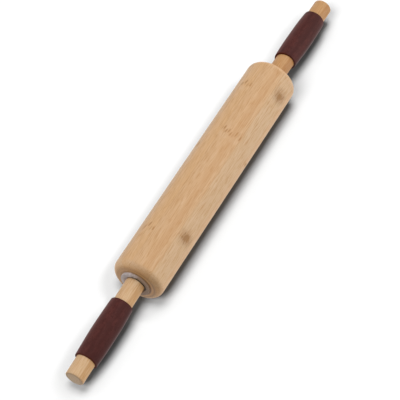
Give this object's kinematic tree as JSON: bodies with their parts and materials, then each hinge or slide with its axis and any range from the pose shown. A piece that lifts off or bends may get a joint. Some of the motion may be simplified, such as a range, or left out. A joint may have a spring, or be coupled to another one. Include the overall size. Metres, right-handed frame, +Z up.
{
  "type": "rolling pin",
  "caption": "Bamboo rolling pin with a round-ended barrel that spins on stub handles held loosely in flanged bushes, with leather grips.",
  "frame": {"origin": "on the surface that the pin lies on, under the middle of the barrel", "axes": "+X along the pin towards the right handle, +Z up; both handles hang down a little, in the XZ plane"},
  "size_m": [0.5006, 0.0522, 0.0522],
  "materials": {
    "barrel_bamboo": "oiled laminated bamboo, fine lengthwise grain, satin",
    "handle_bamboo": "oiled bamboo dowel, fine lengthwise grain, satin",
    "grip_leather": "dark red-brown leather, fine grain, soft sheen",
    "bush_nylon": "pale grey moulded nylon, satin",
    "retainer_steel": "bright zinc plate"
  },
  "bodies": {
    "barrel": {"barrel": "barrel_bamboo", "right_bush": "bush_nylon", "left_bush": "bush_nylon"},
    "right_washer": {"right_retaining_washer": "retainer_steel"},
    "right_handle": {"right_handle_dowel": "handle_bamboo", "right_leather_grip": "grip_leather", "right_retaining_screw": "retainer_steel"},
    "left_washer": {"left_retaining_washer": "retainer_steel"},
    "left_handle": {"left_handle_dowel": "handle_bamboo", "left_leather_grip": "grip_leather", "left_retaining_screw": "retainer_steel"}
  },
  "joints": [
    {"name": "right_spin", "type": "hinge", "parent": "barrel", "child": "right_washer", "pos_m": [0.1293, 0, 0.0261], "axis": [1, 0, 0], "continuous": true},
    {"name": "right_rock", "type": "hinge", "parent": "right_washer", "child": "right_handle", "pos_m": [0.1293, 0, 0.0261], "axis": [0, -1, 0], "range_deg": [0, 6]},
    {"name": "left_spin", "type": "hinge", "parent": "barrel", "child": "left_washer", "pos_m": [-0.1293, 0, 0.0261], "axis": [1, 0, 0], "continuous": true},
    {"name": "left_rock", "type": "hinge", "parent": "left_washer", "child": "left_handle", "pos_m": [-0.1293, 0, 0.0261], "axis": [0, 1, 0], "range_deg": [0, 6]}
  ]
}
